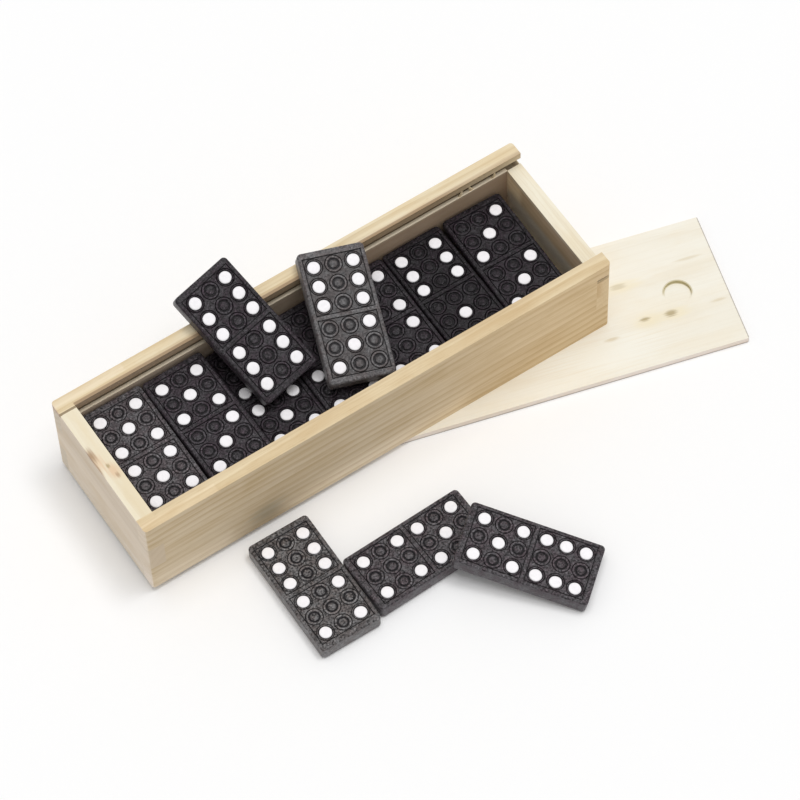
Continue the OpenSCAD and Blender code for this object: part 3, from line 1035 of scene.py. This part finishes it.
def rear_marks():
    """The dull upper edge of the rear wall's left end, a top that is lighter there and has painted shade along
    its inner edge, and painted shade on the inner face beside the tiles."""
    left, inner = corner("rear_wall", 0)[:2]
    dull_edge = block((left - 1, inner - 0.5, BOX_TOP - 1.4), (left + 0.2, inner + 6, BOX_TOP - 0.05),
                      GRAIN_X, EDGE_PINK, 0.9)
    top_left = shade((left - PAST, inner + 2, BOX_TOP - 0.4), (left + 22, inner + PAST, BOX_TOP + 1), GRAIN_X,
                     (1.07, 1.09, 1.16), 0.4)
    # Painted shade along the top's inner edge.
    shaded_inner_edge = shade((left + 5, inner - 1, BOX_TOP - 0.6), (left + 165, inner + 1.3, BOX_TOP + 1), GRAIN_X,
                       (0.92, 0.89, 0.88), 0.5)
    # Painted shade on the inner face beside the tiles.
    shaded_inner_face = shade((left + 90, inner - 1, 0), (left + 165, inner + 0.6, GROOVE_LOW - 0.6), GRAIN_X,
                       (0.87, 0.82, 0.8), 0.5)
    return dull_edge, top_left, shaded_inner_edge, shaded_inner_face


def open_end_marks():
    """The slot over the finger that shows in the front wall, a dark joint with painted shade in it, the painted
    shadow in the corner under the rear lip, a lighter top, painted shade on the inner face with painted light at
    its rear end, and the face's clean foot."""
    right, inner = corner("open_end", 1)[0], corner("open_end", 0)[0]
    face_low, face_high = GROOVE_LOW - 9, GROOVE_LOW - 1.5
    # A dark joint, with painted shade in the slot.
    slot = block((right - 4.6, -ASIDE, GROOVE_LOW - 1.7), (right - 0.5, -24, GROOVE_LOW - 0.7), GRAIN_Y,
                 JOINT_SHADOW, 0.45, 0.3)
    # Painted shadow in the corner under the rear lip.
    lip_shadow = block((right - 6, INNER_Y + 0.3, GROOVE_LOW - 1.2), (right - 0.2, INNER_Y + 3, GROOVE_HIGH),
                      GRAIN_Y, SHADOW_BROWN, 0.7)
    top = shade((inner - 1, -ASIDE, GROOVE_LOW - 0.3), (right + 1, ASIDE, BOX_TOP), GRAIN_Y,
                (1.03, 1.06, 1.12), 0.2)
    # Painted shade on the inner face.
    face = shade((inner - PAST, -ASIDE, face_low), (inner + 1.5, FACE_SPLIT_Y, face_high), GRAIN_Y,
                 (0.87, 0.8, 0.71), 1.5)
    # Painted light on the inner face's rear end.
    lit_rear_of_face = shade((inner - PAST, FACE_SPLIT_Y, face_low), (inner + 1.5, ASIDE, face_high), GRAIN_Y,
                         (1.35, 1.35, 1.3), 1.5)
    foot = block((inner - 5, -INNER_Y, 0), (inner + 2.2, INNER_Y, GROOVE_LOW - 9.5), GRAIN_Y,
                 CLEAN_WOOD, 0.95, 2.2)
    return slot, lip_shadow, top, face, lit_rear_of_face, foot


def closed_end_marks():
    """The knot over the closed end's top and outer edge, painted shade on the outer face's upper part and
    painted light on its lower part, and the dark joint with painted shadow beside the rear wall."""
    outer, top = corner("closed_end", 0)[0], corner("closed_end", 1)[2]
    knots = [knot(along_grain(GRAIN_Y, outer + aside, y, top), *look) for (aside, y), *look in END_KNOTS]
    # Painted shade on the upper part of the outer face.
    above = shade((outer - PAST, -ASIDE, 21), (outer + 1, ASIDE, top - 2), GRAIN_Y, (0.92, 0.91, 0.9), 2)
    # Painted light on the lower part of the outer face.
    below = shade((outer - PAST, -ASIDE, BELOW), (outer + 1, ASIDE, 7), GRAIN_Y, (1.1, 1.15, 1.24), 4)
    # A dark joint with painted shadow beside the rear wall.
    joint = block((outer - 1, INNER_Y - 0.75, top - 1), (outer + 9, INNER_Y + 1, top + 1), GRAIN_Y,
                  JOINT_SHADOW, 0.8)
    return *knots, above, below, joint


def lid_end():
    """The middle of the lid's open end, on its top."""
    along = np.array(LID_AXIS[:2])
    across = np.array((-along[1], along[0]))
    flat = node_points("sliding_lid")[:, :2]
    aside = flat @ across
    spot = along * (flat @ along).max() + across * (aside.min() + aside.max()) / 2
    return float(spot[0]), float(spot[1]), corner("sliding_lid", 1)[2]


def lid_marks():
    """A pale patch of painted light near the box's front foot, the lid's small knots with their halos, its
    streaks, and painted shade on the rim and wall of its thumb notch and along its edges, all placed from its
    open end."""
    x0, y0, z0 = along_grain(GRAIN_LID, *lid_end())

    def at(back, aside):
        return (x0 - back, y0 + aside, z0)

    notch = at(NOTCH_BACK, NOTCH_ASIDE)
    knots = [knot(at(*place), *look) for place, *look in LID_KNOTS]
    # Painted shade along the notch's far rim and on its steep wall, which is also cut end grain.
    rim = rim_shade(notch, NOTCH_R, NOTCH_LINE, NOTCH_FAR_SIDE, NOTCH_SHADE, 0.7)
    shaded_notch_wall = cut_wall(notch, NOTCH_R + 1, NOTCH_SHADE)
    # Painted shade along the lid's lower edges and its end.
    shaded_long_edges = stain((x0 - 200, y0 - 40, -1), (x0 - 0.4, y0 + 40, 0.45), EDGE_SHADOW, 0.75)
    shaded_end_edge = stain((x0 - 0.28, y0 - 40, -1), (x0 + 1, y0 + 40, 5), EDGE_SHADOW, 0.7, 0.06)
    return *knots, rim, shaded_notch_wall, shaded_long_edges, shaded_end_edge


def dress(node, material, edge):
    """Gives a CAD solid its material and eased edges."""
    piece = frame["nodes"][node]
    piece.data.materials.clear()
    piece.data.materials.append(material)
    ease = piece.modifiers.new("eased_edges", "BEVEL")
    ease.width = edge * MM
    ease.segments = EASE_STEPS
    ease.limit_method = "ANGLE"
    ease.angle_limit = math.radians(EASE_FROM)
    ease.use_clamp_overlap = True


def make_wood():
    """Each board has its own cut of the same pale wood."""
    front = wood("front_wood", GRAIN_X, (PEACH, ROSY), (GREIGE, TAN), (-10, 60), PALE_PINK,
                 lean=0.95, depth=0.85, seed=1, marks=groove_marks(-1, -0.3) + front_marks())
    rear = wood("rear_wood", GRAIN_X, (PEACH, YELLOW), (PALE_PINK, PEACH), (-60, 60), END_PINK,
                lean=0.7, depth=0.85, seed=2, marks=groove_marks(1, 0.9) + rear_marks())
    closed = wood("closed_end_wood", GRAIN_Y, (CREAM, YELLOW), (PALE_PINK, PALE_PINK), (-20, 20), END_GREIGE,
                  lean=1.0, depth=0.2, seed=3, marks=closed_end_marks())
    opened = wood("open_end_wood", GRAIN_Y, (CREAM, YELLOW), (PALE_PINK, GREIGE), (-20, 20), TAN,
                  lean=0.8, depth=0.8, seed=4, marks=open_end_marks())
    bottom = wood("bottom_wood", GRAIN_X, (PEACH, ROSY), (GREIGE, TAN), (-60, 60), GREIGE,
                  lean=0.8, depth=1.0, seed=5)
    lid = wood("lid_wood", GRAIN_LID, (LID_CREAM, LID_YELLOW), (LID_EDGE, LID_EDGE), (-60, 60), LID_EDGE,
               lean=1.35, depth=0.22, seed=6, marks=lid_marks())
    for node, board in (("front_wall", front), ("rear_wall", rear), ("closed_end", closed),
                        ("open_end", opened), ("bottom_board", bottom)):
        dress(node, board, BOX_EDGE)
    dress("sliding_lid", lid, LID_EASE)


# ---- splinters; lengths in millimetres
SPLINTER_X = (55.2, 58.2, 66.2)
SPLINTER_LEAN = (0.9, -1.1, 0.7)
SPLINTER_R = 0.5
SPLINTER_TAPER = 0.75
SPLINTER_FLAT = (1.4, 0.6)  # its width and thickness, as shares of its radius
SPLINTER_BOW = 0.35
SPLINTER_LOOPS = 9
SPLINTER_SIDES = 8
SPLINTER_IN = 0.5  # from the wall's inner face
SPLINTER_BURIED = 0.1  # how far its ends go into the ledge and the lip


def splinter_mesh(name, x, lean):
    """A thin, bowed fibre that narrows upwards, from the groove's ledge to its lip."""
    low, high = GROOVE_LOW - SPLINTER_BURIED, GROOVE_HIGH + SPLINTER_BURIED
    wide, flat = SPLINTER_FLAT
    turns = [math.tau * j / SPLINTER_SIDES for j in range(SPLINTER_SIDES)]
    build = Build()
    loops = []
    for k in range(SPLINTER_LOOPS):
        t = k / (SPLINTER_LOOPS - 1)
        r = SPLINTER_R * (1 - SPLINTER_TAPER * t)
        mid_x = x + lean * (t - 0.5)
        mid_y = INNER_Y + SPLINTER_IN - SPLINTER_BOW * math.sin(math.pi * t)
        z = low + (high - low) * t
        ring = [(mid_x + wide * r * math.cos(a), mid_y + flat * r * math.sin(a), z) for a in turns]
        loops.append(build.loop(ring))
    build.faces.append(tuple(reversed(loops[0])))
    build.faces.append(tuple(loops[-1]))
    build.bridge(loops[::-1])
    return finish_mesh(name, build, SHARP)


def make_splinters():
    """Torn wood fibres left standing between the rear groove's ledge and its lip."""
    fibres = wood("splinter_wood", GRAIN_X, (YELLOW, PEACH), (YELLOW, PEACH), (-60, 60), YELLOW,
                  lean=0.8, depth=0.6, seed=8)
    for number, (x, lean) in enumerate(zip(SPLINTER_X, SPLINTER_LEAN), 1):
        name = "splinter_%d" % number
        piece = add_piece(name, splinter_mesh(name, x, lean), fibres, Matrix.Identity(4), "box")


make_camera()
make_light()
make_floor()
make_wood()
make_tiles()
make_splinters()
